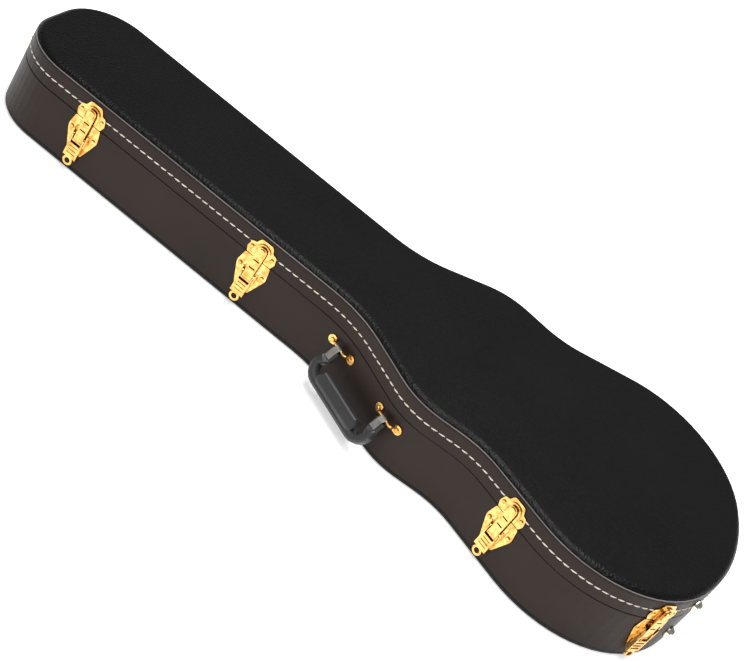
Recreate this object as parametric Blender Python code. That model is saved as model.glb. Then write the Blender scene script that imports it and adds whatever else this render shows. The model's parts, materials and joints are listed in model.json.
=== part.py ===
import math

import bmesh
import bpy
from mathutils import Matrix, Vector

# Every length below is in millimetres; MM turns it into metres at the end
MM = 0.001
GAP = 0.3
SAGITTA = 0.18
FULL_TURN = 2 * math.pi

# Outline seen from above: x from the head end, half widths, arc radii
LENGTH = 1067.0
HEAD_HALF = 94.0
HEAD_CORNER_R = 75.0
SHOULDER_X = 498.0
NECK_HALF = 92.5
SHOULDER_R = 149.0
UPPER_X = 677.0
UPPER_HALF = 159.0
UPPER_R = 97.0
WAIST_X = 732.0
WAIST_HALF = 154.0
WAIST_R = 115.0
LOWER_HALF = 200.0
LOWER_R = 156.0
TAIL_R = 290.0

# Heights of the shell
TOP_Z = 114.0
PARTING_Z = 76.0
WALL_THICK = 6.0
PANEL_THICK = 5.0
RABBET_Z = 8.0
BOTTOM_EDGE_R = 6.5
RIM_R = 10.0
PIPING_Z = 107.7
PIPING_TALL = 0.9
PIPING_PROUD = 0.3
PIPING_DEPTH = 3.0
EDGE_EASE = 0.8

# Dust lip and linings
LIP_THICK = 2.5
LIP_FOOT_Z = 58.0
LIP_RISE = 6.0
POCKET_INSET = 26.0
POCKET_FLOOR_Z = 15.0
POCKET_ROLL = 5.0
LINING_TOP_Z = 72.0
LID_LINING_LOW_Z = 85.0
LID_LINING_WALL = 6.0
LID_LINING_ROOF_Z = 98.0

# Neck rest and accessory box inside the neck section
REST_X = 214.0
REST_LONG = 30.0
REST_TOP_Z = 64.0
REST_NOTCH_HALF = 32.0
REST_NOTCH_Z = 52.0
REST_NOTCH_R = 10.0
BOX_TAIL_X = 470.0
BOX_WALL = 9.0
BOX_TOP_Z = 44.0
BOX_LID_THICK = 4.5
SIDE_PLAY = 0.8
TAB_LONG = 30.0
TAB_WIDE = 14.0
TAB_THICK = 1.2

# Latches: distance of each centre along the near wall
LATCH_AT = (180.5, 444.5, 879.0, 1100.0)
PLATE_THICK = 1.2
PLATE_HALF = 22.0
PLATE_TOP_HALF = 18.5
PLATE_WIDE_Z = 58.0
PLATE_LOW_HALF = 13.0
PLATE_LOW_Z = 35.0
PLATE_FOOT_HALF = 9.5
PLATE_FOOT_Z = 26.5
CATCH_FOOT_HALF = 17.5
CATCH_HALF = 20.5
CATCH_LOBE_Z = 84.0
CATCH_SHOULDER_HALF = 18.0
CATCH_SHOULDER_Z = 94.0
CATCH_NOTCH_HALF = 12.5
CATCH_NOTCH_Z = 95.0
CATCH_CROWN_HALF = 8.5
CATCH_CROWN_Z = 103.4
CATCH_RIVET_T = 15.2
CATCH_RIVET_Z = 87.0
PLATE_RIVET_T = 16.5
PLATE_RIVET_Z = 58.0
PLATE_FOOT_RIVET_Z = 31.5
RIVET_R = 3.0
RIVET_TALL = 1.6
ARCH_OUTER = 10.5
ARCH_INNER = 8.0
ARCH_CENTRE_Z = 89.0
ARCH_PROUD = 3.4
KEEPER_HALF = 4.0
KEEPER_LOW_Z = 84.0
KEEPER_HIGH_Z = 88.0
KEEPER_PROUD = 3.6
CHEEK_INNER = 9.6
CHEEK_THICK = 1.3
CHEEK_LOW_Z = 40.0
CHEEK_HIGH_Z = 66.0
CHEEK_PROUD = 7.0
PIVOT_Z = 53.0
PIVOT_OUT = 4.4
PIVOT_R = 1.4
PIVOT_PLAY = 0.2
LEVER_ARM_INNER = 7.3
LEVER_HALF = 9.1
LEVER_FRONT = 7.8
LEVER_SKIN = 1.3
LEVER_BACK = 2.2
LEVER_TOP_Z = 56.0
LEVER_FACE_TOP_Z = 42.0
LEVER_FACE_LOW_Z = 22.0
LEVER_RIDGES = (27.5, 32.5, 37.5)
RIDGE_HALF = 6.0
RIDGE_TALL = 1.6
RIDGE_PROUD = 0.7
RING_Z = 17.5
RING_OUTER = 6.6
RING_INNER = 3.8
RING_BACK = 5.6
HOOK_PIN_Z = 46.0
HOOK_PIN_R = 1.2
HOOK_EYE_R = 2.3
HOOK_HALF = 6.3
HOOK_BACK = 4.7
HOOK_THICK = 1.3
HOOK_TOP_Z = 96.5
HOOK_SLOTS = (64.0, 76.0)
SLOT_HALF = 4.2
SLOT_TALL = 2.0
HOOK_DOME_LOW_Z = 82.0
HOOK_DOME_PROUD = 1.6

# Handle and its brackets
BRACKET_AT = (590.5, 698.5)
BRACKET_Z = 58.0
BRACKET_RIVET_T = 17.4
PAD_R = 6.2
PAD_THICK = 1.4
PAD_INNER_T = 12.5
BAR_Z = 60.0
BAR_OUT = 8.0
BAR_R = 1.7
BAR_HALF = 10.5
DROOP = math.radians(63.0)
ARM_START = 4.4
ARM_FOOT_HALF = 7.2
ARM_FOOT_THICK = 3.3
ARM_HALF = 6.6
ARM_THICK = 6.4
BAND_HALF = 5.4
BAND_THICK = 7.4
BAND_AT = 45.0
BAND_SPREAD = 4.5
BAND_CORNER_R = 17.0
GRIP_HALF = 41.0
GRIP_INNER = 26.0
GRIP_THICK = 10.0
GRIP_TAPER = 5.0
CLIP_HALF = 4.5
CLIP_INNER = 3.7
CLIP_THICK = 1.2
CLIP_PLAY = 0.35
CLIP_LONG = 17.0
CLIP_RIVET_R = 2.0

# Hinges on the far side, along the straight line that touches head and lower bout
HINGE_OUT = 4.6
HINGE_X = (84.0, 690.0, 905.0)
LEAF_HALF = 22.0
LEAF_TALL = 21.0
LEAF_THICK = 1.2
LEAF_CLEAR_Z = 2.6
FLANGE_THICK = 1.6
FLANGE_CLEAR_Z = 0.4
KNUCKLE_R = 3.0
KNUCKLE_SPLIT = 7.5
KNUCKLE_PLAY = 0.3
HINGE_PIN_R = 1.5
HINGE_PIN_PLAY = 0.15
HINGE_HEAD_R = 2.2
HINGE_HEAD_TALL = 1.0

# Dome feet on the tail
FOOT_AT = 1158.0
FOOT_LOW_Z = 38.0
FOOT_HIGH_Z = 91.0
FOOT_R = 8.6
FOOT_TALL = 8.4
FOOT_COLLAR = 1.2

COLOURS = {
    "brown_vinyl": ((0.045, 0.028, 0.021), 0.5, 0.0),
    "black_tolex": ((0.008, 0.008, 0.008), 0.55, 0.0),
    "piping": ((0.16, 0.14, 0.13), 0.5, 0.0),
    "plush": ((0.32, 0.2, 0.06), 0.95, 0.0),
    "lip_cloth": ((0.03, 0.02, 0.016), 0.9, 0.0),
    "gold": ((0.83, 0.5, 0.17), 0.25, 1.0),
    "nickel": ((0.7, 0.68, 0.64), 0.18, 1.0),
    "handle_plastic": ((0.03, 0.03, 0.032), 0.45, 0.0),
}


def clear_scene():
    for obj in list(bpy.data.objects):
        bpy.data.objects.remove(obj, do_unlink=True)


def make_materials():
    made = {}
    for name, (colour, roughness, metallic) in COLOURS.items():
        material = bpy.data.materials.new(name)
        material.use_nodes = True
        shader = material.node_tree.nodes["Principled BSDF"]
        shader.inputs["Base Color"].default_value = (*colour, 1.0)
        shader.inputs["Roughness"].default_value = roughness
        shader.inputs["Metallic"].default_value = metallic
        material.diffuse_color = (*colour, 1.0)
        made[name] = material
    return made


# The outline is a belt of common tangents round circles; a negative radius is a hollow


def outline_circles():
    lower_x = LENGTH - TAIL_R + math.sqrt((TAIL_R - LOWER_R) ** 2 - (LOWER_HALF - LOWER_R) ** 2)
    half = [
        (HEAD_CORNER_R, HEAD_HALF - HEAD_CORNER_R, HEAD_CORNER_R),
        (SHOULDER_X, NECK_HALF + SHOULDER_R, -SHOULDER_R),
        (UPPER_X, UPPER_HALF - UPPER_R, UPPER_R),
        (WAIST_X, WAIST_HALF + WAIST_R, -WAIST_R),
        (lower_x, LOWER_HALF - LOWER_R, LOWER_R),
    ]
    belt = [(x, -y, r) for x, y, r in half]
    belt.append((LENGTH - TAIL_R, 0.0, TAIL_R))
    belt.extend(reversed(half))
    return [(x - LENGTH / 2, y, r) for x, y, r in belt]


def tangent_heading(first, second):
    dx = second[0] - first[0]
    dy = second[1] - first[1]
    share = (second[2] - first[2]) / math.hypot(dx, dy)
    return math.atan2(dy, dx) - math.asin(max(-1.0, min(1.0, share)))


def outline_arcs():
    """(x, y, radius, first heading, turn) of every arc, then the length of the straight after it."""
    belt = outline_circles()
    count = len(belt)
    headings = [tangent_heading(belt[i], belt[(i + 1) % count]) for i in range(count)]
    arcs = []
    for i, (x, y, r) in enumerate(belt):
        start = headings[i - 1]
        turn = (headings[i] - start + math.pi) % FULL_TURN - math.pi
        nx, ny, nr = belt[(i + 1) % count]
        end = headings[i]
        run = math.hypot(
            nx + nr * math.sin(end) - x - r * math.sin(end),
            ny - nr * math.cos(end) - y + r * math.cos(end),
        )
        arcs.append((x, y, r, start, turn, run))
    return arcs


ARCS = outline_arcs()


def ring(inset):
    """The outline moved inwards by inset, always with the same number of points."""
    points = []
    previous_run = ARCS[-1][5]
    for x, y, r, start, turn, run in ARCS:
        step = 2 * math.acos(1 - SAGITTA / abs(r))
        count = max(1, math.ceil(abs(turn) / step))
        first = 0 if previous_run > GAP else 1
        for i in range(first, count + 1):
            heading = start + turn * i / count
            reach = r - inset
            points.append((x + reach * math.sin(heading), y - reach * math.cos(heading)))
        previous_run = run
    return points


def wall_at(along):
    """Point and heading on the near outline, this far along it from the head end's corner."""
    left = along
    for x, y, r, start, turn, run in ARCS:
        arc = abs(r * turn)
        if left <= arc:
            heading = start + left / r
            return x + r * math.sin(heading), y - r * math.cos(heading), heading
        left -= arc
        end = start + turn
        if left <= run:
            px = x + r * math.sin(end) + left * math.cos(end)
            py = y - r * math.cos(end) + left * math.sin(end)
            return px, py, end
        left -= run
    raise ValueError("the wall is shorter than that")


def wall_point(along, out, z, side=-1):
    """World point beside the wall; side -1 is the near wall, 1 its mirror image on the far side."""
    x, y, heading = wall_at(along)
    px = x + out * math.sin(heading)
    py = y - out * math.cos(heading)
    return Vector((px, -side * py, z))


def along_of_x(x):
    """Distance along the wall at which it reaches this x, counted from the head end."""
    low, high = 0.0, sum(abs(a[2] * a[4]) + a[5] for a in ARCS[:5])
    for _ in range(60):
        middle = (low + high) / 2
        if wall_at(middle)[0] < x - LENGTH / 2:
            low = middle
        else:
            high = middle
    return low


# Mesh building


def skin(bm, loops, closed=False):
    """Joins loops of equal length into one surface; open stacks get both ends capped."""
    made = [[bm.verts.new(point) for point in loop] for loop in loops]
    count = len(made[0])
    pairs = list(zip(made, made[1:]))
    if closed:
        pairs.append((made[-1], made[0]))
    for first, second in pairs:
        for i in range(count):
            j = (i + 1) % count
            bm.faces.new((first[i], first[j], second[j], second[i]))
    if not closed:
        bm.faces.new(made[0][::-1])
        bm.faces.new(made[-1])


def outward(bm):
    bmesh.ops.recalc_face_normals(bm, faces=bm.faces)
    if bm.calc_volume(signed=True) < 0:
        bmesh.ops.reverse_faces(bm, faces=bm.faces)


def keep(name, bm, material, origin=None, sharp=38.0):
    """Makes the object from a mesh in millimetres, with its origin where it turns."""
    outward(bm)
    start = origin if origin is not None else Vector()
    for vert in bm.verts:
        vert.co = (vert.co - start) * MM
    mesh = bpy.data.meshes.new(name)
    bm.to_mesh(mesh)
    bm.free()
    mesh.materials.append(material)
    mesh.shade_smooth()
    mesh.set_sharp_from_angle(angle=math.radians(sharp))
    obj = bpy.data.objects.new(name, mesh)
    obj.location = start * MM
    bpy.context.scene.collection.objects.link(obj)
    return obj


def shell(name, profile, material, closed):
    bm = bmesh.new()
    skin(bm, [[(x, y, z) for x, y in ring(inset)] for inset, z in profile], closed)
    return keep(name, bm, material)


def combine(solids, cuts=(), solver="EXACT"):
    """One mesh out of several that overlap, less the cuts."""
    made = []
    for bm in (*solids, *cuts):
        outward(bm)
        mesh = bpy.data.meshes.new("piece")
        bm.to_mesh(mesh)
        bm.free()
        obj = bpy.data.objects.new("piece", mesh)
        bpy.context.scene.collection.objects.link(obj)
        made.append(obj)
    for i, obj in enumerate(made[1:], 1):
        boolean = made[0].modifiers.new("combine", "BOOLEAN")
        boolean.operation = "UNION" if i < len(solids) else "DIFFERENCE"
        boolean.solver = solver
        boolean.object = obj
    graph = bpy.context.evaluated_depsgraph_get()
    result = bpy.data.meshes.new_from_object(made[0].evaluated_get(graph))
    bm = bmesh.new()
    bm.from_mesh(result)
    for obj in made:
        bpy.data.meshes.remove(obj.data)
    bpy.data.meshes.remove(result)
    return bm


def slab(points, low, high):
    """A plate: outline in (t, z), thickness from low to high along the outward way."""
    bm = bmesh.new()
    face = bm.faces.new([bm.verts.new((t, low, z)) for t, z in points])
    grown = bmesh.ops.extrude_face_region(bm, geom=[face])["geom"]
    moved = [item for item in grown if isinstance(item, bmesh.types.BMVert)]
    bmesh.ops.translate(bm, verts=moved, vec=(0, high - low, 0))
    return bm


def box(t_low, t_high, n_low, n_high, z_low, z_high):
    corners = ((t_low, z_low), (t_high, z_low), (t_high, z_high), (t_low, z_high))
    return slab(corners, n_low, n_high)


def turned(profile, steps, axis="Y", centre=(0, 0, 0)):
    """A solid of revolution: profile of (radius, height) pairs that starts and ends on its axis."""
    bm = bmesh.new()
    verts = [bm.verts.new((radius, 0, height)) for radius, height in profile]
    edges = [bm.edges.new(pair) for pair in zip(verts, verts[1:])]
    bmesh.ops.spin(
        bm, geom=verts + edges, cent=(0, 0, 0), axis=(0, 0, 1), angle=FULL_TURN, steps=steps, use_merge=True
    )
    bmesh.ops.remove_doubles(bm, verts=bm.verts, dist=0.001)
    turns = {"X": Matrix.Rotation(math.pi / 2, 3, "Y"), "Y": Matrix.Rotation(-math.pi / 2, 3, "X")}
    bmesh.ops.rotate(bm, verts=bm.verts, cent=(0, 0, 0), matrix=turns[axis])
    bmesh.ops.translate(bm, verts=bm.verts, vec=centre)
    return bm


def rod(radius, length, steps, axis, centre):
    half = length / 2
    return turned([(0, -half), (radius, -half), (radius, half), (0, half)], steps, axis, centre)


def button(t, z, low, radius, tall, steps=10):
    """A rivet head standing on a plate whose face is at low."""
    profile = [(0, -PLATE_THICK / 2), (radius, -PLATE_THICK / 2), (radius, tall * 0.35)]
    profile += [(radius * 0.62, tall * 0.85), (0, tall)]
    return turned(profile, steps, "Y", (t, low, z))


def rounded(corners, steps=3):
    """Outline with each corner (t, z, radius) turned into a short arc."""
    points = []
    count = len(corners)
    for i, (t, z, radius) in enumerate(corners):
        here = Vector((t, z))
        before = (Vector(corners[i - 1][:2]) - here).normalized()
        after = (Vector(corners[(i + 1) % count][:2]) - here).normalized()
        if radius <= 0:
            points.append((t, z))
            continue
        half = before.angle(after) / 2
        reach = radius / math.tan(half)
        centre = here + (before + after).normalized() * (radius / math.sin(half))
        start = here + before * reach - centre
        end = here + after * reach - centre
        sweep = start.angle_signed(end)
        for k in range(steps + 1):
            turn = -sweep * k / steps
            c, s = math.cos(turn), math.sin(turn)
            points.append((centre.x + c * start.x - s * start.y, centre.y + s * start.x + c * start.y))
    return points


def mirrored(half):
    """Closes a half outline on the minus side with its mirror image."""
    return half + [(-t, z, radius) for t, z, radius in reversed(half)]


def bend(bm, centre, side=-1, pitch=6.0):
    """Lays a mesh in (t, out, z) along the curved wall."""
    low = min(vert.co.x for vert in bm.verts)
    high = max(vert.co.x for vert in bm.verts)
    curved = abs(wall_at(centre + low)[2] - wall_at(centre + high)[2]) > math.radians(0.5)
    count = round((high - low) / pitch) if curved else 0
    for i in range(1, count):
        cut = low + (high - low) * i / count
        bmesh.ops.bisect_plane(
            bm, geom=list(bm.verts) + list(bm.edges) + list(bm.faces), plane_co=(cut, 0, 0), plane_no=(1, 0, 0)
        )
    bmesh.ops.triangulate(bm, faces=bm.faces)
    for vert in bm.verts:
        vert.co = wall_point(centre + vert.co.x, vert.co.y, vert.co.z, side)
    return bm


def set_on_wall(bm, centre, side=-1):
    """Stands a straight mesh in (t, out, z) on the wall's tangent."""
    x, y, heading = wall_at(centre)
    for vert in bm.verts:
        t, out, z = vert.co
        px = x + t * math.cos(heading) + out * math.sin(heading)
        py = y + t * math.sin(heading) - out * math.cos(heading)
        vert.co = (px, -side * py, z)
    return bm


# Shell


def quarter(inset_centre, z_centre, radius, first, last, steps):
    """Points (inset, z) of an arc of the section; angle 0 faces outwards and 90 up."""
    points = []
    for i in range(steps + 1):
        angle = math.radians(first + (last - first) * i / steps)
        points.append((inset_centre - radius * math.cos(angle), z_centre + radius * math.sin(angle)))
    return points


def make_shell(materials):
    bottom = quarter(BOTTOM_EDGE_R, BOTTOM_EDGE_R, BOTTOM_EDGE_R, -90, 0, 4)
    bottom += [(0, RABBET_Z), (WALL_THICK + GAP * 2, RABBET_Z), (WALL_THICK + GAP * 2, PANEL_THICK)]
    shell("bottom_panel", bottom, materials["black_tolex"], False)

    low, high = RABBET_Z + GAP, PARTING_Z - GAP / 2
    wall = [(0, low), (0, high - EDGE_EASE), (EDGE_EASE, high), (WALL_THICK, high), (WALL_THICK, low)]
    shell("base_wall", wall, materials["brown_vinyl"], True)

    low, high = PARTING_Z + GAP / 2, PIPING_Z - GAP
    rim_centre = TOP_Z - RIM_R
    lean = math.degrees(math.asin((high - rim_centre) / RIM_R))
    wall = [(EDGE_EASE, low), (0, low + EDGE_EASE)]
    wall += quarter(RIM_R, rim_centre, RIM_R, 0, lean, 2)
    wall += [(WALL_THICK, high), (WALL_THICK, low)]
    shell("lid_wall", wall, materials["brown_vinyl"], True)

    face = quarter(RIM_R, rim_centre, RIM_R, 0, lean, 1)[-1][0] - PIPING_PROUD
    top = PIPING_Z + PIPING_TALL
    piping = [(face + PIPING_PROUD, PIPING_Z), (face, PIPING_Z + PIPING_TALL / 2), (face + PIPING_PROUD * 2, top)]
    piping += [(face + PIPING_DEPTH, top), (face + PIPING_DEPTH, PIPING_Z)]
    shell("lid_piping", piping, materials["piping"], True)

    low = top + GAP
    lean = math.degrees(math.asin((low - rim_centre) / RIM_R))
    panel = [(WALL_THICK, low)]
    panel += quarter(RIM_R, rim_centre, RIM_R, lean, 90, 5)
    shell("lid_panel", panel, materials["black_tolex"], False)


def make_linings(materials):
    inner = WALL_THICK + GAP
    lip = [(inner, LIP_FOOT_Z), (inner, PARTING_Z), (inner + LIP_THICK / 2, PARTING_Z + LIP_RISE)]
    lip += [(inner + LIP_THICK, PARTING_Z + LIP_RISE), (inner + LIP_THICK, LIP_FOOT_Z)]
    shell("base_lip", lip, materials["lip_cloth"], True)

    outer = inner + LIP_THICK + GAP
    low = PANEL_THICK + GAP
    roll = POCKET_ROLL
    bed = [(outer + roll, low), (outer, low), (outer, LINING_TOP_Z - roll)]
    bed += quarter(outer + roll, LINING_TOP_Z - roll, roll, 45, 90, 1)
    bed += [(POCKET_INSET - roll, LINING_TOP_Z)]
    bed += [(POCKET_INSET - roll * 0.3, LINING_TOP_Z - roll * 0.3), (POCKET_INSET, LINING_TOP_Z - roll)]
    bed += [(POCKET_INSET, POCKET_FLOOR_Z + roll)]
    bed += [(POCKET_INSET + roll * 0.3, POCKET_FLOOR_Z + roll * 0.3), (POCKET_INSET + roll, POCKET_FLOOR_Z)]
    shell("base_lining", bed, materials["plush"], False)

    high = PIPING_Z + PIPING_TALL
    wall = inner + LID_LINING_WALL
    roof = [(inner + roll, high), (inner, high - roll), (inner, LID_LINING_LOW_Z)]
    roof += [(wall, LID_LINING_LOW_Z), (wall, LID_LINING_ROOF_Z - roll)]
    roof += [(wall + roll * 0.3, LID_LINING_ROOF_Z - roll * 0.3), (wall + roll, LID_LINING_ROOF_Z)]
    shell("lid_lining", roof, materials["plush"], False)


# Inside of the neck section


def neck_half(x):
    """Half width of the hollow at this distance from the head end, less a little play."""
    share = (x - HEAD_CORNER_R) / (SHOULDER_X - HEAD_CORNER_R)
    return HEAD_HALF + (NECK_HALF - HEAD_HALF) * share - POCKET_INSET - SIDE_PLAY


def cross_piece(x, long, outline):
    """A solid of this outline in (y, z), from x to x + long behind the head end."""
    bm = bmesh.new()
    start = x - LENGTH / 2
    face = bm.faces.new([bm.verts.new((start, y, z)) for y, z in outline])
    grown = bmesh.ops.extrude_face_region(bm, geom=[face])["geom"]
    moved = [item for item in grown if isinstance(item, bmesh.types.BMVert)]
    bmesh.ops.translate(bm, verts=moved, vec=(long, 0, 0))
    return bm


def make_neck_fittings(materials):
    foot = POCKET_FLOOR_Z + GAP
    half = neck_half(REST_X + REST_LONG)
    floor_half = half - POCKET_ROLL
    left = [
        (-floor_half, foot, 0),
        (-half, foot + POCKET_ROLL, 0),
        (-half, REST_TOP_Z, POCKET_ROLL),
        (-REST_NOTCH_HALF, REST_TOP_Z, POCKET_ROLL),
        (-REST_NOTCH_HALF + POCKET_ROLL, REST_NOTCH_Z, REST_NOTCH_R / 2),
    ]
    keep("neck_rest", cross_piece(REST_X, REST_LONG, rounded(mirrored(left))), materials["plush"])

    ledge_x = REST_X + REST_LONG + GAP
    half = neck_half(BOX_TAIL_X)
    floor_half = half - POCKET_ROLL
    flat = [(-floor_half, foot), (-half, foot + POCKET_ROLL), (-half, BOX_TOP_Z)]
    flat += [(half, BOX_TOP_Z), (half, foot + POCKET_ROLL), (floor_half, foot)]
    keep("box_wall_head", cross_piece(ledge_x, BOX_WALL, flat), materials["plush"])
    keep("box_wall_tail", cross_piece(BOX_TAIL_X - BOX_WALL, BOX_WALL, flat), materials["plush"])

    low = BOX_TOP_Z + GAP
    long = BOX_TAIL_X - ledge_x - GAP
    flat = [(-half + GAP, low), (-half + GAP, low + BOX_LID_THICK)]
    flat += [(half - GAP, low + BOX_LID_THICK), (half - GAP, low)]
    keep("box_lid", cross_piece(ledge_x + GAP, long, flat), materials["plush"])

    low += BOX_LID_THICK + GAP
    tab = [(-TAB_WIDE / 2, low, 0), (-TAB_WIDE / 2, low + TAB_THICK, 0)]
    middle = (ledge_x + BOX_TAIL_X) / 2
    keep("box_lid_tab", cross_piece(middle, TAB_LONG, rounded(mirrored(tab))), materials["lip_cloth"])


# Latches


def arc_points(t, z, radius, first, last, steps):
    points = []
    for i in range(steps + 1):
        angle = math.radians(first + (last - first) * i / steps)
        points.append((t + radius * math.cos(angle), z + radius * math.sin(angle)))
    return points


def make_latch(number, centre, materials):
    gold = materials["gold"]
    name = f"latch_{number}"
    face = GAP + PLATE_THICK

    half = [
        (-PLATE_TOP_HALF, PARTING_Z - GAP, 2.0),
        (-PLATE_HALF, PLATE_WIDE_Z, 12.0),
        (-PLATE_LOW_HALF, PLATE_LOW_Z, 8.0),
        (-PLATE_FOOT_HALF, PLATE_FOOT_Z, 5.0),
    ]
    solids = [slab(rounded(mirrored(half)), GAP, face)]
    for t in (-PLATE_RIVET_T, PLATE_RIVET_T):
        solids.append(button(t, PLATE_RIVET_Z, face, RIVET_R, RIVET_TALL))
    solids.append(button(0, PLATE_FOOT_RIVET_Z, face, RIVET_R * 0.8, RIVET_TALL * 0.6))
    solids = [bend(combine(solids), centre)]
    cheek = [
        (GAP + PLATE_THICK / 2, CHEEK_LOW_Z, 0),
        (CHEEK_PROUD, CHEEK_LOW_Z + 4.0, 3.0),
        (CHEEK_PROUD, CHEEK_HIGH_Z - 4.0, 3.0),
        (GAP + PLATE_THICK / 2, CHEEK_HIGH_Z, 0),
    ]
    for side in (-1, 1):
        bm = bmesh.new()
        outline = rounded(cheek)
        near = side * CHEEK_INNER
        far = side * (CHEEK_INNER + CHEEK_THICK)
        skin(bm, [[(near, n, z) for n, z in outline], [(far, n, z) for n, z in outline]])
        solids.append(set_on_wall(bm, centre))
    bore = rod(PIVOT_R + PIVOT_PLAY, PLATE_HALF * 2, 12, "X", (0, PIVOT_OUT, PIVOT_Z))
    plate = combine(solids, [set_on_wall(bore, centre)])
    keep(name + "_plate", plate, gold)

    half = [
        (-CATCH_FOOT_HALF, PARTING_Z + GAP + 0.4, 2.0),
        (-CATCH_HALF, CATCH_LOBE_Z, 5.0),
        (-CATCH_SHOULDER_HALF, CATCH_SHOULDER_Z, 3.5),
        (-CATCH_NOTCH_HALF, CATCH_NOTCH_Z, 3.0),
        (-CATCH_CROWN_HALF, CATCH_CROWN_Z, 4.0),
    ]
    solids = [slab(rounded(mirrored(half)), GAP, face)]
    arch = [(-ARCH_OUTER, PARTING_Z + 3.0)] + arc_points(0, ARCH_CENTRE_Z, ARCH_OUTER, 180, 0, 8)
    arch += [(ARCH_OUTER, PARTING_Z + 3.0), (ARCH_INNER, PARTING_Z + 3.0)]
    arch += arc_points(0, ARCH_CENTRE_Z, ARCH_INNER, 0, 180, 8) + [(-ARCH_INNER, PARTING_Z + 3.0)]
    solids.append(slab(arch, GAP + PLATE_THICK / 2, ARCH_PROUD))
    solids.append(
        box(-KEEPER_HALF, KEEPER_HALF, GAP + PLATE_THICK / 2, KEEPER_PROUD, KEEPER_LOW_Z, KEEPER_HIGH_Z)
    )
    for t in (-CATCH_RIVET_T, CATCH_RIVET_T):
        solids.append(button(t, CATCH_RIVET_Z, face, RIVET_R, RIVET_TALL))
    keep(name + "_catch", bend(combine(solids), centre), gold)

    make_lever(name, centre, gold)
    make_hook(name, centre, gold)


def make_lever(name, centre, gold):
    solids = []
    arm = [
        (LEVER_BACK, LEVER_FACE_LOW_Z, 0),
        (LEVER_FRONT, LEVER_FACE_LOW_Z, 1.0),
        (LEVER_FRONT, LEVER_TOP_Z - 2.0, 3.0),
        (LEVER_FRONT - 3.0, LEVER_TOP_Z, 2.0),
        (LEVER_BACK, LEVER_TOP_Z - 1.0, 1.5),
    ]
    outline = rounded(arm, 2)
    for side in (-1, 1):
        bm = bmesh.new()
        near, far = side * LEVER_ARM_INNER, side * LEVER_HALF
        skin(bm, [[(near, n, z) for n, z in outline], [(far, n, z) for n, z in outline]])
        solids.append(bm)
    inner = LEVER_ARM_INNER + (LEVER_HALF - LEVER_ARM_INNER) / 2
    solids.append(
        box(-inner, inner, LEVER_FRONT - LEVER_SKIN, LEVER_FRONT - 0.1, LEVER_FACE_LOW_Z + 0.5, LEVER_FACE_TOP_Z)
    )
    for z in LEVER_RIDGES:
        ridge = (-RIDGE_HALF, RIDGE_HALF, LEVER_FRONT - LEVER_SKIN / 2, LEVER_FRONT + RIDGE_PROUD)
        solids.append(box(*ridge, z - RIDGE_TALL / 2, z + RIDGE_TALL / 2))
    loop = arc_points(0, RING_Z, RING_OUTER, 0, 345, 23)
    solids.append(slab(loop, RING_BACK, LEVER_FRONT - 0.3))
    solids.append(rod(HOOK_PIN_R, LEVER_ARM_INNER * 2 + 1.0, 10, "X", (0, PIVOT_OUT, HOOK_PIN_Z)))
    reach = CHEEK_INNER + CHEEK_THICK + 0.6
    for side in (-1, 1):
        middle = side * (LEVER_ARM_INNER + 0.5 + reach) / 2
        long = reach - LEVER_ARM_INNER - 0.5
        solids.append(rod(PIVOT_R, long, 12, "X", (middle, PIVOT_OUT, PIVOT_Z)))
    hole = rod(RING_INNER, 8.0, 16, "Y", (0, LEVER_FRONT - 1.0, RING_Z))
    bm = set_on_wall(combine(solids, [hole]), centre)
    keep(name + "_lever", bm, gold, wall_point(centre, PIVOT_OUT, PIVOT_Z))


def make_hook(name, centre, gold):
    solids = [rod(HOOK_EYE_R, HOOK_HALF * 2, 12, "X", (0, PIVOT_OUT, HOOK_PIN_Z))]
    neck_z = HOOK_PIN_Z
    strap = [
        (-HOOK_HALF, neck_z, 0),
        (-HOOK_HALF, HOOK_TOP_Z, 5.0),
        (HOOK_HALF, HOOK_TOP_Z, 5.0),
        (HOOK_HALF, neck_z, 0),
    ]
    solids.append(slab(rounded(strap), HOOK_BACK, HOOK_BACK + HOOK_THICK))
    low = HOOK_BACK + HOOK_THICK
    inset = 1.6
    dome = [
        (-HOOK_HALF + inset, HOOK_DOME_LOW_Z, 2.0),
        (-HOOK_HALF + inset, HOOK_TOP_Z - inset, 3.6),
        (HOOK_HALF - inset, HOOK_TOP_Z - inset, 3.6),
        (HOOK_HALF - inset, HOOK_DOME_LOW_Z, 2.0),
    ]
    solids.append(slab(rounded(dome, 2), low - 0.4, low + HOOK_DOME_PROUD))
    cuts = [rod(HOOK_PIN_R + PIVOT_PLAY, HOOK_HALF * 3, 12, "X", (0, PIVOT_OUT, HOOK_PIN_Z))]
    for z in HOOK_SLOTS:
        cuts.append(box(-SLOT_HALF, SLOT_HALF, 0, low + 3.0, z - SLOT_TALL / 2, z + SLOT_TALL / 2))
    bm = set_on_wall(combine(solids, cuts), centre)
    keep(name + "_hook", bm, gold, wall_point(centre, PIVOT_OUT, HOOK_PIN_Z))


# Handle


def tube(path, radius, steps):
    """A round bar along a path of points."""
    loops = []
    for i, point in enumerate(path):
        before = path[max(i - 1, 0)]
        after = path[min(i + 1, len(path) - 1)]
        heading = (after - before).normalized()
        side = heading.cross(Vector((0, 0, 1))).normalized()
        up = side.cross(heading)
        loop = []
        for k in range(steps):
            angle = FULL_TURN * k / steps
            loop.append(point + (side * math.cos(angle) + up * math.sin(angle)) * radius)
        loops.append(loop)
    bm = bmesh.new()
    skin(bm, loops)
    return bm


def handle_axis():
    first = wall_point(BRACKET_AT[0], BAR_OUT, BAR_Z)
    second = wall_point(BRACKET_AT[1], BAR_OUT, BAR_Z)
    return first, second


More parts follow.
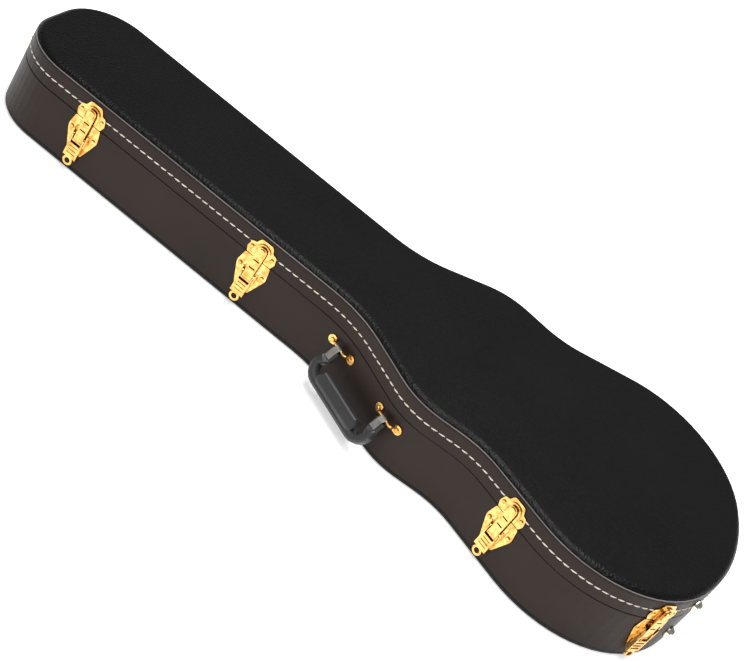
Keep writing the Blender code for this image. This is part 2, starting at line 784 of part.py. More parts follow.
def make_bracket(name, centre, bar_centre, direction, materials):
    solids = []
    low = GAP
    for side in (-1, 1):
        ends = [(side * PAD_INNER_T, BRACKET_Z - PAD_R * 0.8), (side * PAD_INNER_T, BRACKET_Z + PAD_R * 0.8)]
        cap = arc_points(side * BRACKET_RIVET_T, BRACKET_Z, PAD_R, 90, 90 - side * 180, 8)
        rivet = button(side * BRACKET_RIVET_T, BRACKET_Z, low + PAD_THICK, RIVET_R, RIVET_TALL)
        solids.append(bend(combine([slab([*ends, *cap], low, low + PAD_THICK), rivet]), centre))
    foot_t = PAD_INNER_T + 2.0
    start = wall_point(centre - foot_t, GAP + BAR_R + 0.1, BRACKET_Z + 1.0)
    end = wall_point(centre + foot_t, GAP + BAR_R + 0.1, BRACKET_Z + 1.0)
    first = bar_centre - direction * BAR_HALF
    last = bar_centre + direction * BAR_HALF
    path = [start, start.lerp(first, 0.75) - direction * 0.8, first, last]
    path += [end.lerp(last, 0.75) + direction * 0.8, end]
    solids.append(tube(path, BAR_R, 10))
    keep(name, combine(solids, solver="MANIFOLD"), materials["gold"])


def handle_frame():
    """Centre of the handle's axis, its direction, the way the grip hangs and the way across it."""
    first, second = handle_axis()
    direction = (second - first).normalized()
    out = Vector((direction.y, -direction.x, 0))
    down = out * math.cos(DROOP) - Vector((0, 0, 1)) * math.sin(DROOP)
    across = direction.cross(down)
    return (first + second) / 2, direction, down, across


def in_handle(bm):
    middle, direction, down, across = handle_frame()
    for vert in bm.verts:
        a, r, w = vert.co
        vert.co = middle + direction * a + down * r + across * w
    return bm


def soft_loop(half_u, half_w, ease, steps=2):
    corners = [
        (-half_u, -half_w, ease),
        (-half_u, half_w, ease),
        (half_u, half_w, ease),
        (half_u, -half_w, ease),
    ]
    return rounded(corners, steps)


def make_handle(materials):
    first, second = handle_axis()
    middle, direction, _down, _across = handle_frame()
    spread = (second - first).length / 2
    for number, centre, bar_centre in ((1, BRACKET_AT[0], first), (2, BRACKET_AT[1], second)):
        make_bracket(f"handle_bracket_{number}", centre, bar_centre, direction, materials)

    wide = spread + BAND_SPREAD
    knee = CLIP_LONG + ARM_START
    turn = BAND_CORNER_R
    path = [(-spread, ARM_START), (-spread - 0.4, CLIP_LONG + GAP), (-spread - 1.6, knee)]
    path += arc_points(-wide + turn, BAND_AT - turn, turn, 180, 90, 5)
    path += [(-x, y) for x, y in reversed(path)]
    sizes = [(ARM_FOOT_HALF, ARM_FOOT_THICK), (ARM_FOOT_HALF, ARM_FOOT_THICK), (ARM_HALF, ARM_THICK)]
    sizes += [(BAND_HALF, BAND_THICK)] * 6
    sizes += reversed(sizes)
    loops = []
    for i, (a, r) in enumerate(path):
        ahead = Vector(path[min(i + 1, len(path) - 1)]) - Vector(path[max(i - 1, 0)])
        if i in (0, len(path) - 1):
            ahead = Vector((0, 1 if i == 0 else -1))
        ahead.normalize()
        side = Vector((ahead.y, -ahead.x))
        half_u, half_w = sizes[i]
        loops.append([(a + side.x * u, r + side.y * u, w) for u, w in soft_loop(half_u, half_w, half_w * 0.45)])
    bow = bmesh.new()
    skin(bow, loops)

    block_middle = (GRIP_INNER + BAND_AT) / 2
    block_half = (BAND_AT - GRIP_INNER) / 2
    loops = []
    for a, share in ((-GRIP_HALF, 0.72), (-GRIP_HALF + GRIP_TAPER, 1.0), (GRIP_HALF - GRIP_TAPER, 1.0), (GRIP_HALF, 0.72)):
        section = soft_loop(block_half * share, GRIP_THICK * share, GRIP_THICK * 0.5, 3)
        loops.append([(a, block_middle + u + block_half * (1 - share), w) for u, w in section])
    block = bmesh.new()
    skin(block, loops)
    grip = in_handle(combine([bow, block]))
    keep("handle_grip", grip, materials["handle_plastic"], middle)

    for number, a in ((1, -spread), (2, spread)):
        outer = CLIP_INNER + CLIP_THICK
        eye = BAR_R + CLIP_PLAY
        strap = [(CLIP_LONG, -outer), (ARM_START - GAP, -outer)]
        strap += arc_points(0, 0, eye + CLIP_THICK, 290, 70, 8)
        strap += [(ARM_START - GAP, outer), (CLIP_LONG, outer), (CLIP_LONG, CLIP_INNER)]
        strap += [(ARM_START, CLIP_INNER)] + arc_points(0, 0, eye, 65, 295, 8)
        strap += [(ARM_START, -CLIP_INNER), (CLIP_LONG, -CLIP_INNER)]
        bm = bmesh.new()
        skin(bm, [[(a - CLIP_HALF, r, w) for r, w in strap], [(a + CLIP_HALF, r, w) for r, w in strap]])
        keep(f"handle_clip_{number}", in_handle(bm), materials["nickel"], middle)


# Hinges


def hinge_line():
    """Start point, direction and outward way of the line that the hinge pins lie on."""
    head, lower = ARCS[0], ARCS[4]
    heading = tangent_heading(head[:3], lower[:3])
    out = Vector((math.sin(heading), -math.cos(heading), 0))
    start = Vector((head[0], head[1], 0)) + out * (head[2] + HINGE_OUT)
    along = Vector((math.cos(heading), math.sin(heading), 0))
    flip = Vector((1, -1, 1))
    return start * flip + Vector((0, 0, PARTING_Z)), along * flip, out * flip


def foot_on_line(point):
    start, along, _out = hinge_line()
    reach = (point - start).dot(along)
    return start + along * reach


def wall_flange(centre, low_t, high_t, z_low, z_high):
    """A flat web between the leaf on the wall and the hinge line."""
    count = 5
    inner = []
    for i in range(count):
        t = low_t + (high_t - low_t) * i / (count - 1)
        inner.append(wall_point(centre + t, GAP + LEAF_THICK / 2, z_low, 1))
    outer = [foot_on_line(inner[-1]), foot_on_line(inner[0])]
    outline = [(p.x, p.y) for p in inner] + [(p.x, p.y) for p in outer]
    bm = bmesh.new()
    skin(bm, [[(x, y, z_low) for x, y in outline], [(x, y, z_high) for x, y in outline]])
    return bm


def line_rod(point, along, radius, length, steps):
    """A rod centred on a point of the hinge line."""
    half = along * (length / 2)
    return tube([point - half, point + half], radius, steps)


def make_hinge(number, x, materials):
    gold = materials["gold"]
    centre = along_of_x(x)
    _start, along, _out = hinge_line()
    middle = foot_on_line(wall_point(centre, 0, PARTING_Z, 1))
    pin_bore = HINGE_PIN_R + HINGE_PIN_PLAY
    leaf_low = PARTING_Z - LEAF_CLEAR_Z
    leaf_high = PARTING_Z + LEAF_CLEAR_Z

    outline = [
        (-LEAF_HALF, leaf_low, 0),
        (-LEAF_HALF, leaf_low - LEAF_TALL, 5.0),
        (LEAF_HALF, leaf_low - LEAF_TALL, 5.0),
        (LEAF_HALF, leaf_low, 0),
    ]
    face = GAP + LEAF_THICK
    solids = [slab(rounded(outline), GAP, face)]
    for t in (-LEAF_HALF * 0.62, LEAF_HALF * 0.62):
        solids.append(button(t, leaf_low - LEAF_TALL * 0.6, face, RIVET_R, RIVET_TALL))
    solids = [bend(combine(solids), centre, 1)]
    flange_high = PARTING_Z - FLANGE_CLEAR_Z
    knuckle_long = LEAF_HALF - KNUCKLE_SPLIT - KNUCKLE_PLAY
    for side in (-1, 1):
        low_t, high_t = sorted((side * (KNUCKLE_SPLIT + KNUCKLE_PLAY + 0.6), side * (LEAF_HALF - 0.5)))
        solids.append(wall_flange(centre, low_t, high_t, leaf_low - FLANGE_THICK, flange_high))
        where = middle + along * (side * (KNUCKLE_SPLIT + KNUCKLE_PLAY + knuckle_long / 2))
        solids.append(line_rod(where, along, KNUCKLE_R, knuckle_long, 14))
    bore = line_rod(middle, along, pin_bore, LEAF_HALF * 3, 14)
    keep(f"hinge_{number}_base_leaf", combine(solids, [bore]), gold)

    outline = [
        (-LEAF_HALF, leaf_high, 0),
        (-LEAF_HALF, leaf_high + LEAF_TALL, 5.0),
        (LEAF_HALF, leaf_high + LEAF_TALL, 5.0),
        (LEAF_HALF, leaf_high, 0),
    ]
    solids = [slab(rounded(outline), GAP, face)]
    for t in (-LEAF_HALF * 0.62, LEAF_HALF * 0.62):
        solids.append(button(t, leaf_high + LEAF_TALL * 0.6, face, RIVET_R, RIVET_TALL))
    solids = [bend(combine(solids), centre, 1)]
    edge = KNUCKLE_SPLIT - 0.6
    flange_low = PARTING_Z + FLANGE_CLEAR_Z
    solids.append(wall_flange(centre, -edge, edge, flange_low, leaf_high + FLANGE_THICK))
    solids.append(line_rod(middle, along, KNUCKLE_R, KNUCKLE_SPLIT * 2, 14))
    bore = line_rod(middle, along, pin_bore, LEAF_HALF * 3, 14)
    keep(f"hinge_{number}_lid_leaf", combine(solids, [bore]), gold, middle)

    long = LEAF_HALF * 2 + GAP * 2
    pin = [line_rod(middle, along, HINGE_PIN_R, long, 14)]
    for side in (-1, 1):
        where = middle + along * (side * (long + HINGE_HEAD_TALL) / 2)
        pin.append(line_rod(where, along, HINGE_HEAD_R, HINGE_HEAD_TALL + GAP / 2, 12))
    keep(f"hinge_{number}_pin", combine(pin), gold)


def make_feet(materials):
    arc = []
    for i in range(5):
        angle = math.radians(18 + 72 * i / 4)
        arc.append((FOOT_R * 0.94 * math.cos(angle), FOOT_COLLAR + (FOOT_TALL - FOOT_COLLAR) * math.sin(angle)))
    profile = [(0, 0), (FOOT_R, 0), (FOOT_R, FOOT_COLLAR)] + arc[:-1] + [(0, FOOT_TALL)]
    for half, z in (("base", FOOT_LOW_Z), ("lid", FOOT_HIGH_Z)):
        for where, side in (("near", -1), ("far", 1)):
            bm = turned(profile, 18, "Y", (0, GAP, z))
            keep(f"foot_{half}_{where}", set_on_wall(bm, FOOT_AT, side), materials["nickel"])


def main():
    clear_scene()
    materials = make_materials()
    make_shell(materials)
    make_linings(materials)
    make_neck_fittings(materials)
    for number, centre in enumerate(LATCH_AT, 1):
        make_latch(number, centre, materials)
    make_handle(materials)
    for number, x in enumerate(HINGE_X, 1):
        make_hinge(number, x, materials)
    make_feet(materials)


main()
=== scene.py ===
import json
import math

import bmesh
import bpy
from mathutils import Matrix, Vector, noise


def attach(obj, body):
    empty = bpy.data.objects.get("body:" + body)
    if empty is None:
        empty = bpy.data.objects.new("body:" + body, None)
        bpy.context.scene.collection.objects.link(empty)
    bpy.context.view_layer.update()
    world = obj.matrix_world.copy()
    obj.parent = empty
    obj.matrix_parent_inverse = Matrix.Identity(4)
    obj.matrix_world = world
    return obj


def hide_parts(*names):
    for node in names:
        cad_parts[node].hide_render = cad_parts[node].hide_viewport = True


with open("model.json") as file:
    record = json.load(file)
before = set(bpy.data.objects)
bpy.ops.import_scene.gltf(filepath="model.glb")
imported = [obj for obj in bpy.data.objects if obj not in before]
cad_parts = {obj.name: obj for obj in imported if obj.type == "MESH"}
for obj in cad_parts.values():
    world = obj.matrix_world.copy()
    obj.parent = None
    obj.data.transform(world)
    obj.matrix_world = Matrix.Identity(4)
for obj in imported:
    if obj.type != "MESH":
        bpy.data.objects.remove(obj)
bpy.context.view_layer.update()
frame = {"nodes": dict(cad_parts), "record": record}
print("frame loaded:", len(frame["nodes"]), "nodes")

mm = 0.001

# Outline of the case from above, in millimetres from the head end
outline = {
    "length": 1067.0,
    "headHalf": 94.0,
    "headCorner": 75.0,
    "shoulderX": 498.0,
    "neckHalf": 92.5,
    "shoulderRadius": 149.0,
    "upperX": 677.0,
    "upperHalf": 159.0,
    "upperRadius": 97.0,
    "waistX": 732.0,
    "waistHalf": 154.0,
    "waistRadius": 115.0,
    "lowerHalf": 200.0,
    "lowerRadius": 156.0,
    "tailRadius": 290.0,
    "arcStep": math.radians(3.0),
    "straightStep": 8.0,
    "samePlace": 0.3,  # points closer than this are one
}


# The outline is a belt round circles (x, y, radius), with a minus sign on the radius of a circle that
# it passes on the inside. Each arc is (x, y, radius, first heading, turn)
def outlineArcs(size):
    head, shoulder, upper = size["headCorner"], size["shoulderRadius"], size["upperRadius"]
    waist, lower, tail = size["waistRadius"], size["lowerRadius"], size["tailRadius"]
    tailX = size["length"] - tail
    lowerX = tailX + math.sqrt((tail - lower) ** 2 - (size["lowerHalf"] - lower) ** 2)
    half = [
        (head, size["headHalf"] - head, head),
        (size["shoulderX"], size["neckHalf"] + shoulder, -shoulder),
        (size["upperX"], size["upperHalf"] - upper, upper),
        (size["waistX"], size["waistHalf"] + waist, -waist),
        (lowerX, size["lowerHalf"] - lower, lower),
    ]
    belt = [(x, -y, radius) for x, y, radius in half] + [(tailX, 0.0, tail)] + half[::-1]
    belt = [(x - size["length"] / 2, y, radius) for x, y, radius in belt]
    headings = []
    for (x, y, radius), (nextX, nextY, nextRadius) in zip(belt, belt[1:] + belt[:1]):
        share = (nextRadius - radius) / math.hypot(nextX - x, nextY - y)
        share = max(-1.0, min(1.0, share))  # 1 where the tail holds its neighbours, give or take rounding
        headings.append(math.atan2(nextY - y, nextX - x) - math.asin(share))
    arcs = []
    for (x, y, radius), before, after in zip(belt, headings[-1:] + headings[:-1], headings):
        turn = (after - before + math.pi) % (2 * math.pi) - math.pi
        arcs.append((x, y, radius, before, turn))
    return arcs


def onArc(x, y, radius, heading):
    return x + radius * math.sin(heading), y - radius * math.cos(heading), heading


def alongStraight(first, last):
    steps = int(math.dist(first[:2], last[:2]) // outline["straightStep"])
    points = []
    for k in range(1, steps):
        share = k / steps
        x = first[0] + (last[0] - first[0]) * share
        y = first[1] + (last[1] - first[1]) * share
        points.append((x, y, last[2]))
    return points


# Points (x, y, heading) round the outline moved inwards by inset. The arcs have as many for every inset,
# so that rings join point to point
def track(inset, straights=False):
    arcs = outlineArcs(outline)
    points = []
    for (x, y, radius, start, turn), following in zip(arcs, arcs[1:] + arcs[:1]):
        count = max(2, math.ceil(abs(turn) / outline["arcStep"]))
        for k in range(count + 1):
            point = onArc(x, y, radius - inset, start + turn * k / count)
            if not points or math.dist(points[-1][:2], point[:2]) > outline["samePlace"]:
                points.append(point)
        if straights:
            nextX, nextY, nextRadius = following[:3]
            points += alongStraight(points[-1], onArc(nextX, nextY, nextRadius - inset, start + turn))
    return points


# Points (x, y, heading) round the outline, an even distance apart that is close to pitch
def spaced(pitch):
    points = track(0.0, straights=True)
    points.append(points[0])
    total = sum(math.dist(a[:2], b[:2]) for a, b in zip(points, points[1:]))
    count = round(total / pitch)
    step = total / count
    found, walked, wanted = [], 0.0, 0.0
    for a, b in zip(points, points[1:]):
        run = math.dist(a[:2], b[:2])
        heading = math.atan2(b[1] - a[1], b[0] - a[0])
        while wanted <= walked + run and len(found) < count:
            share = (wanted - walked) / run
            found.append((a[0] + (b[0] - a[0]) * share, a[1] + (b[1] - a[1]) * share, heading))
            wanted += step
        walked += run
    return found


# Turns a bmesh in millimetres into a piece on a body, with edges over sharpAngle degrees left sharp
def makeObject(name, bm, material, body, sharpAngle):
    bmesh.ops.recalc_face_normals(bm, faces=bm.faces)
    for vert in bm.verts:
        vert.co *= mm
    mesh = bpy.data.meshes.new(name)
    bm.to_mesh(mesh)
    bm.free()
    mesh.materials.append(material)
    mesh.shade_smooth()
    mesh.set_sharp_from_angle(angle=math.radians(sharpAngle))
    obj = bpy.data.objects.new(name, mesh)
    bpy.context.scene.collection.objects.link(obj)
    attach(obj, body)
    return obj


# Parts of a material. Pattern scales are per metre, and a bump is (strength, height in metres)
pattern = {
    "detail": 4.0,
    "cellSmoothness": 0.6,
    "rampPlaces": (0.3, 0.7),
}


def newMaterial(name, specular, metallic=0.0):
    material = bpy.data.materials.new(name)
    material.use_nodes = True
    shader = material.node_tree.nodes["Principled BSDF"]
    shader.inputs["Specular IOR Level"].default_value = specular
    shader.inputs["Metallic"].default_value = metallic
    return material, shader


def readPlace(tree, node):
    coords = tree.nodes.new("ShaderNodeTexCoord")
    tree.links.new(coords.outputs["Object"], node.inputs["Vector"])


def addNoise(tree, scale, detail=pattern["detail"]):
    node = tree.nodes.new("ShaderNodeTexNoise")
    node.inputs["Scale"].default_value = scale
    node.inputs["Detail"].default_value = detail
    readPlace(tree, node)
    return node.outputs["Fac"]


def addCells(tree, scale):
    node = tree.nodes.new("ShaderNodeTexVoronoi")
    node.feature = "SMOOTH_F1"
    node.inputs["Scale"].default_value = scale
    node.inputs["Smoothness"].default_value = pattern["cellSmoothness"]
    readPlace(tree, node)
    return node.outputs["Distance"]


def addRamp(tree, source, colours, target, places=pattern["rampPlaces"]):
    node = tree.nodes.new("ShaderNodeValToRGB")
    for element, place, colour in zip(node.color_ramp.elements, places, colours):
        element.position = place
        element.color = (*colour, 1.0)
    tree.links.new(source, node.inputs["Fac"])
    tree.links.new(node.outputs["Color"], target)


def addBumps(tree, shader, layers):
    normal = shader.inputs["Normal"]
    for height, (strength, distance) in reversed(layers):  # from the top layer down
        node = tree.nodes.new("ShaderNodeBump")
        node.inputs["Strength"].default_value = strength
        node.inputs["Distance"].default_value = distance
        tree.links.new(height, node.inputs["Height"])
        tree.links.new(node.outputs["Normal"], normal)
        normal = node.inputs["Normal"]


def shades(colour, factors):
    return [tuple(channel * factor for channel in colour) for factor in factors]


def greys(values):
    return [(value, value, value) for value in values]


# Black pebbled covering of the lid's top and the underside
pebbledLook = {
    "colour": (0.0016, 0.0013, 0.0015),
    "shades": (0.75, 1.4),
    "roughness": (0.38, 0.5),
    "specular": 0.13,
    "blotchScale": 9.0,
    "pebbleScale": 400.0,
    "pebbleBump": (0.9, 0.0008),
    "grainScale": 1800.0,
    "grainDetail": 2.0,
    "grainBump": (0.25, 0.00008),
}


def makePebbled():
    look = pebbledLook
    material, shader = newMaterial("blackPebbled", look["specular"])
    tree = material.node_tree
    blotches = addNoise(tree, look["blotchScale"])
    pebbles = addCells(tree, look["pebbleScale"])
    grain = addNoise(tree, look["grainScale"], look["grainDetail"])
    addRamp(tree, blotches, shades(look["colour"], look["shades"]), shader.inputs["Base Color"])
    addRamp(tree, blotches, greys(look["roughness"]), shader.inputs["Roughness"])
    addBumps(tree, shader, [(pebbles, look["pebbleBump"]), (grain, look["grainBump"])])
    return material


# Smooth brown vinyl of the sides
vinylLook = {
    "colour": (0.0175, 0.0098, 0.0066),
    "shades": (0.82, 1.2),
    "roughness": (0.4, 0.52),
    "specular": 0.16,
    "waveScale": 7.0,
    "waveBump": (0.12, 0.0012),
    "cellScale": 900.0,
    "cellBump": (0.3, 0.00016),
    "shineScale": 420.0,
    "shineDetail": 3.0,
}


def makeVinyl():
    look = vinylLook
    material, shader = newMaterial("brownVinyl", look["specular"])
    tree = material.node_tree
    waves = addNoise(tree, look["waveScale"])
    cells = addCells(tree, look["cellScale"])
    shine = addNoise(tree, look["shineScale"], look["shineDetail"])
    addRamp(tree, waves, shades(look["colour"], look["shades"]), shader.inputs["Base Color"])
    addRamp(tree, shine, greys(look["roughness"]), shader.inputs["Roughness"])
    addBumps(tree, shader, [(cells, look["cellBump"]), (waves, look["waveBump"])])
    return material


# Plated metals, rougher where the tarnish is dark
metalLook = {
    "dark": {"gold": (0.52, 0.26, 0.06), "nickel": (0.55, 0.52, 0.45)},
    "bright": {"gold": (0.8, 0.5, 0.17), "nickel": (0.78, 0.76, 0.7)},
    "roughness": {"gold": 0.2, "nickel": 0.12},
    "roughnessShares": (1.5, 0.8),
    "specular": 0.5,
    "tarnishPlaces": (0.34, 0.62),
    "tarnishScale": 160.0,
    "tarnishDetail": 5.0,
    "tarnishBump": (0.15, 0.0003),
    "scratchScale": 2200.0,
    "scratchDetail": 2.0,
    "scratchBump": (0.1, 0.00004),
}


def makeMetal(name):
    look = metalLook
    material, shader = newMaterial(name, look["specular"], metallic=1.0)
    tree = material.node_tree
    tarnish = addNoise(tree, look["tarnishScale"], look["tarnishDetail"])
    scratches = addNoise(tree, look["scratchScale"], look["scratchDetail"])
    colours = (look["dark"][name], look["bright"][name])
    addRamp(tree, tarnish, colours, shader.inputs["Base Color"], look["tarnishPlaces"])
    roughness = [look["roughness"][name] * share for share in look["roughnessShares"]]
    addRamp(tree, tarnish, greys(roughness), shader.inputs["Roughness"])
    addBumps(tree, shader, [(tarnish, look["tarnishBump"]), (scratches, look["scratchBump"])])
    return material


# Dark moulded plastic of the handle, smoother where it is worn pale
plasticLook = {
    "colours": ((0.014, 0.014, 0.015), (0.026, 0.026, 0.027)),
    "roughness": (0.5, 0.36),
    "specular": 0.45,
    "wearScale": 30.0,
    "grainScale": 1500.0,
    "grainDetail": 3.0,
    "grainBump": (0.3, 0.00012),
}


def makePlastic():
    look = plasticLook
    material, shader = newMaterial("handlePlastic", look["specular"])
    tree = material.node_tree
    wear = addNoise(tree, look["wearScale"])
    grain = addNoise(tree, look["grainScale"], look["grainDetail"])
    addRamp(tree, wear, look["colours"], shader.inputs["Base Color"])
    addRamp(tree, wear, greys(look["roughness"]), shader.inputs["Roughness"])
    addBumps(tree, shader, [(grain, look["grainBump"])])
    return material


# Cloths: the piping's trim, coloured pale grey as a painted highlight along the top edge of the brown
# covering, the plush inside and the cloth on the lip
clothLook = {
    "colour": {
        # pale grey of the piping: a painted highlight of the brown covering's top edge, on a real trim
        # ring
        "pipingPaintedHighlight": (0.13, 0.115, 0.11),
        "plush": (0.34, 0.2, 0.055),
        "lipCloth": (0.035, 0.024, 0.018),
    },
    "shades": (0.7, 1.25),
    "roughness": 0.9,
    "specular": 0.15,
    "sheen": 0.5,
    "pileScale": {"pipingPaintedHighlight": 2400.0, "plush": 900.0, "lipCloth": 1400.0},
    "pileDetail": 3.0,
    "pileBump": (0.6, 0.0006),
    "brushedScale": 14.0,
    "brushedDetail": 5.0,
    "brushedBump": (0.3, 0.0015),
}


def makeCloth(name):
    look = clothLook
    material, shader = newMaterial(name, look["specular"])
    tree = material.node_tree
    shader.inputs["Roughness"].default_value = look["roughness"]
    shader.inputs["Sheen Weight"].default_value = look["sheen"]
    pile = addNoise(tree, look["pileScale"][name], look["pileDetail"])
    brushed = addNoise(tree, look["brushedScale"], look["brushedDetail"])
    colours = shades(look["colour"][name], look["shades"])
    addRamp(tree, brushed, colours, shader.inputs["Base Color"])
    addBumps(tree, shader, [(pile, look["pileBump"]), (brushed, look["brushedBump"])])
    return material


# Cream thread of the stitches
threadLook = {
    "colours": ((0.46, 0.4, 0.32), (0.72, 0.66, 0.57)),
    "roughness": 0.7,
    "specular": 0.3,
    "twistScale": 1600.0,
    "twistDetail": 2.0,
    "twistBump": (0.5, 0.0002),
}


def makeThread():
    look = threadLook
    material, shader = newMaterial("thread", look["specular"])
    tree = material.node_tree
    shader.inputs["Roughness"].default_value = look["roughness"]
    twist = addNoise(tree, look["twistScale"], look["twistDetail"])
    addRamp(tree, twist, look["colours"], shader.inputs["Base Color"])
    addBumps(tree, shader, [(twist, look["twistBump"])])
    return material


# Finishes of the record's material slots. The two panels have one of their own
pebbled = makePebbled()
plush = makeCloth("plush")
finishes = {
    "brown_vinyl": makeVinyl(),
    # the piping's pale grey cloth is a painted highlight along the edge of the brown covering
    "piping": makeCloth("pipingPaintedHighlight"),
    "plush": plush,
    "lip_cloth": makeCloth("lipCloth"),
    "gold": makeMetal("gold"),
    "nickel": makeMetal("nickel"),
    "handle_plastic": makePlastic(),
}
for part in frame["record"]["subparts"]:
    isPanel = part["node"].endswith("_panel")
    mesh = frame["nodes"][part["node"]].data
    mesh.materials.clear()
    mesh.materials.append(pebbled if isPanel else finishes[part["material_slot"]])
print("materials done")


# Cream stitches round the lid, in millimetres
stitching = {
    "height": 91.4,
    "pitch": 10.7,
    "length": 9.2,
    "radius": 0.88,
    "taper": 0.92,
    "proud": 0.25,
    "sag": 0.55,
    "tilt": math.radians(4.0),
    "sides": 6,
    "stations": 5,
    "sharpAngle": 60.0,
}


# One stitch along Z, with Y out of the case: its ends are thinner and dip into the vinyl
def makeStitchForm():
    size = stitching
    bm = bmesh.new()
    bmesh.ops.create_cone(
        bm,
        cap_ends=True,
        segments=size["sides"],
        radius1=size["radius"],
        radius2=size["radius"],
        depth=size["length"],
    )
    longEdges = [edge for edge in bm.edges if edge.verts[0].co.z * edge.verts[1].co.z < 0]
    bmesh.ops.subdivide_edges(bm, edges=longEdges, cuts=size["stations"] - 2)
    for vert in bm.verts:
        share = vert.co.z / (size["length"] / 2)
        vert.co.xy *= math.sqrt(1 - size["taper"] * share * share)
        vert.co.y += size["proud"] - size["sag"] * share * share
    form = bpy.data.meshes.new("stitchForm")
    bm.to_mesh(form)
    bm.free()
    return form


def makeStitches():
    form = makeStitchForm()
    tilt = stitching["tilt"]
    bm = bmesh.new()
    for x, y, heading in spaced(stitching["pitch"]):
        along = (math.cos(heading) * math.cos(tilt), math.sin(heading) * math.cos(tilt), math.sin(tilt))
        out = (math.sin(heading), -math.cos(heading), 0)
        axes = Matrix(((0, 0, 1), out, along)).transposed().to_4x4()
        placed = len(bm.verts)
        bm.from_mesh(form)
        bm.verts.ensure_lookup_table()
        place = Matrix.Translation((x, y, stitching["height"])) @ axes
        bmesh.ops.transform(bm, matrix=place, verts=bm.verts[placed:])
    bpy.data.meshes.remove(form)
    obj = makeObject("lidStitches", bm, makeThread(), "lid", stitching["sharpAngle"])


makeStitches()
print("stitches done")


# Plush linings, in millimetres. An inset is measured from the outline
lining = {
    "bedOuter": 9.4,
    "bedLow": 5.6,
    "bedBevel": 1.0,
    "bedTop": 71.5,
    "bedRoll": 7.5,
    "pocketInset": 26.4,
    "pocketHeights": (45.0, 30.0),  # rings on the pocket's side, which take its waves
    "pocketFloor": 15.4,
    "roofOuter": 6.7,
    "roofTop": 108.0,
    "roofLow": 85.4,
    "roofBevel": 2.0,
    "roofWall": 12.0,
    "roofInner": 98.4,
    "roofRoll": 6.0,
    "rollSteps": 4,
    "wave": 0.55,
    "waveScale": 0.035,
    "fill": 0.9,
    "sharpAngle": 50.0,
}


# Profile points (inset, z) of a rolled edge, between two angles in degrees
def rolledEdge(inset, z, radius, first, last):
    points = []
    for k in range(lining["rollSteps"] + 1):
        angle = math.radians(first + (last - first) * k / lining["rollSteps"])
        points.append((inset - radius * math.cos(angle), z + radius * math.sin(angle)))
    return points


# Bridges one ring for each profile point, and closes the first and the last
def makeLining(name, profile, node, body):
    bm = bmesh.new()
    rings, loops = [], []
    for inset, z in profile:
        ring = [bm.verts.new((x, y, z)) for x, y, heading in track(inset)]
        rings.append(ring)
        loops.append([bm.edges.new(pair) for pair in zip(ring, ring[1:] + ring[:1])])
    for first, second in zip(loops, loops[1:]):
        bmesh.ops.bridge_loops(bm, edges=first + second)
    bmesh.ops.edgeloop_fill(bm, edges=loops[0] + loops[-1])
    bmesh.ops.recalc_face_normals(bm, faces=bm.faces)
    bm.normal_update()
    for ring in rings[len(rings) // 2 :]:  # the half that shows
        for vert in ring:
            push = noise.noise(vert.co * lining["waveScale"]) * lining["wave"]
            vert.co += vert.normal * min(0.0, push)
    obj = makeObject(name, bm, plush, body, lining["sharpAngle"])
    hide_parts(node)


def bedProfile():
    outer, low, top = lining["bedOuter"], lining["bedLow"], lining["bedTop"]
    pocket, floor, edge = lining["pocketInset"], lining["pocketFloor"], lining["bedRoll"]
    points = [(outer + edge, low), (outer, low + lining["bedBevel"])]
    points += rolledEdge(outer + edge, top - edge, edge, 0, 90)
    points += rolledEdge(pocket - edge, top - edge, edge, 90, 180)
    points += [(pocket, z) for z in lining["pocketHeights"]]
    points += rolledEdge(pocket + edge, floor + edge, edge, 0, -90)
    return points


def roofProfile():
    outer, low, top = lining["roofOuter"], lining["roofLow"], lining["roofTop"]
    wall, edge, bevel = lining["roofWall"], lining["roofRoll"], lining["roofBevel"]
    points = [(outer + edge, top), (outer, top - edge)]
    points += [(outer, low + bevel), (outer + bevel, low)]
    points += [(wall - bevel, low), (wall, low + bevel)]
    points += rolledEdge(wall + edge, lining["roofInner"] - edge, edge, 0, 90)
    return points


makeLining("plushBed", bedProfile(), "base_lining", "base")
makeLining("plushRoof", roofProfile(), "lid_lining", "lid")
print("linings done")


# Floor and light, in metres and watts
studio = {
    "white": (1.0, 1.0, 1.0, 1.0),
    "floorColour": (0.9, 0.9, 0.9, 1.0),
    "floorRoughness": 0.8,
    "floorSpecular": 0.1,
    "floorGlow": 0.55,
    "floorReach": 30.0,
    "worldStrength": 0.32,
    "areas": {
        "key": {"power": 20.0, "size": 1.2, "place": (0.5, -1.2, 1.9)},
        "top": {"power": 62.0, "size": 1.3, "place": (0.0, -0.05, 2.1)},
    },
}


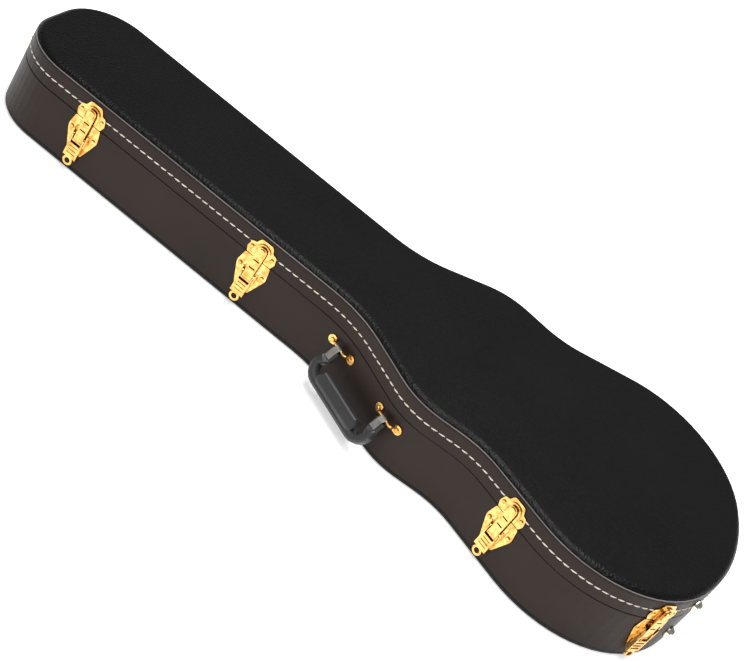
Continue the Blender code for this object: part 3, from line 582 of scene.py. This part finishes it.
def makeFloor():
    material, shader = newMaterial("floorPaint", studio["floorSpecular"])
    shader.inputs["Base Color"].default_value = studio["floorColour"]
    shader.inputs["Roughness"].default_value = studio["floorRoughness"]
    shader.inputs["Emission Color"].default_value = studio["white"]
    shader.inputs["Emission Strength"].default_value = studio["floorGlow"]
    bm = bmesh.new()
    bmesh.ops.create_grid(bm, x_segments=2, y_segments=2, size=studio["floorReach"])
    mesh = bpy.data.meshes.new("floor")
    bm.to_mesh(mesh)
    bm.free()
    mesh.materials.append(material)
    floor = bpy.data.objects.new("floor", mesh)
    bpy.context.scene.collection.objects.link(floor)


def makeWorld():
    world = bpy.data.worlds.new("studio")
    world.use_nodes = True
    background = world.node_tree.nodes["Background"]
    background.inputs["Color"].default_value = studio["white"]
    background.inputs["Strength"].default_value = studio["worldStrength"]
    bpy.context.scene.world = world
    bpy.context.scene.view_settings.view_transform = "Standard"


# Square lights that face the case
def makeLights():
    for name, light in studio["areas"].items():
        data = bpy.data.lights.new(name, "AREA")
        data.energy = light["power"]
        data.size = light["size"]
        obj = bpy.data.objects.new(name, data)
        obj.location = light["place"]
        obj.rotation_euler = (-Vector(light["place"])).to_track_quat("-Z", "Y").to_euler()
        bpy.context.scene.collection.objects.link(obj)


# Camera at the photograph's angle, in metres, with three directions of its own in the case's frame
view = {
    "focalPixels": 1520.39,
    "photoWide": 744.0,
    "place": (0.1567, -1.5742, 1.0832),
    "right": (0.7743, 0.3955, 0.4939),
    "down": (0.6286, -0.3914, -0.672),
    "forward": (-0.0725, 0.8309, -0.5518),
    "farthest": 50.0,
}


def makeCamera():
    camera = bpy.data.cameras.new("camera")
    camera.sensor_fit = "HORIZONTAL"
    camera.lens = view["focalPixels"] / view["photoWide"] * camera.sensor_width
    camera.clip_end = view["farthest"]
    obj = bpy.data.objects.new("camera", camera)
    axes = Matrix((Vector(view["right"]), -Vector(view["down"]), -Vector(view["forward"])))
    obj.matrix_world = Matrix.Translation(view["place"]) @ axes.transposed().to_4x4()
    bpy.context.scene.collection.objects.link(obj)
    bpy.context.scene.camera = obj


makeFloor()
makeWorld()
makeLights()
makeCamera()
print("studio done")
